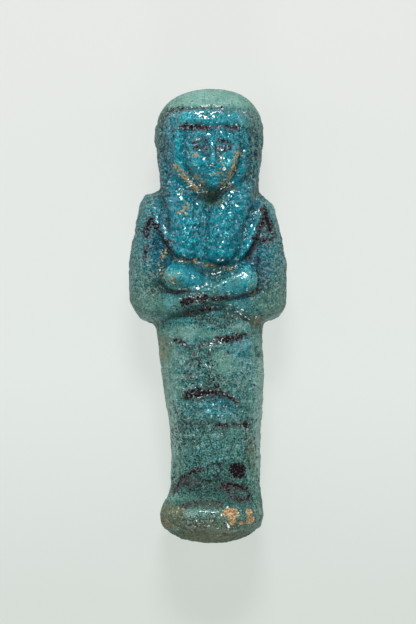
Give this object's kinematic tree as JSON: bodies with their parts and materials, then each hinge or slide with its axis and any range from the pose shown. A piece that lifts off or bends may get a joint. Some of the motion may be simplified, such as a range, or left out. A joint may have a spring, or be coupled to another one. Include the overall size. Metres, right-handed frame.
{
  "type": "ushabti figurine",
  "caption": "Small mummiform funerary figure in blue-green glazed faience, arms folded over the chest, lying on its flat back.",
  "frame": {"origin": "under the middle of the figure, on the surface that its back lies on", "axes": "+Z out of the figure's front, which faces up; +Y towards the crown of the head; +X across, towards the figure's left arm"},
  "size_m": [0.0347, 0.1, 0.0228],
  "materials": {
    "glazed_faience": "worn blue-green glaze, glossy down the front and matt on the wig, the sides and the back, with faded black painted marks"
  },
  "bodies": {
    "root": {"figurine": "glazed_faience"}
  },
  "joints": []
}
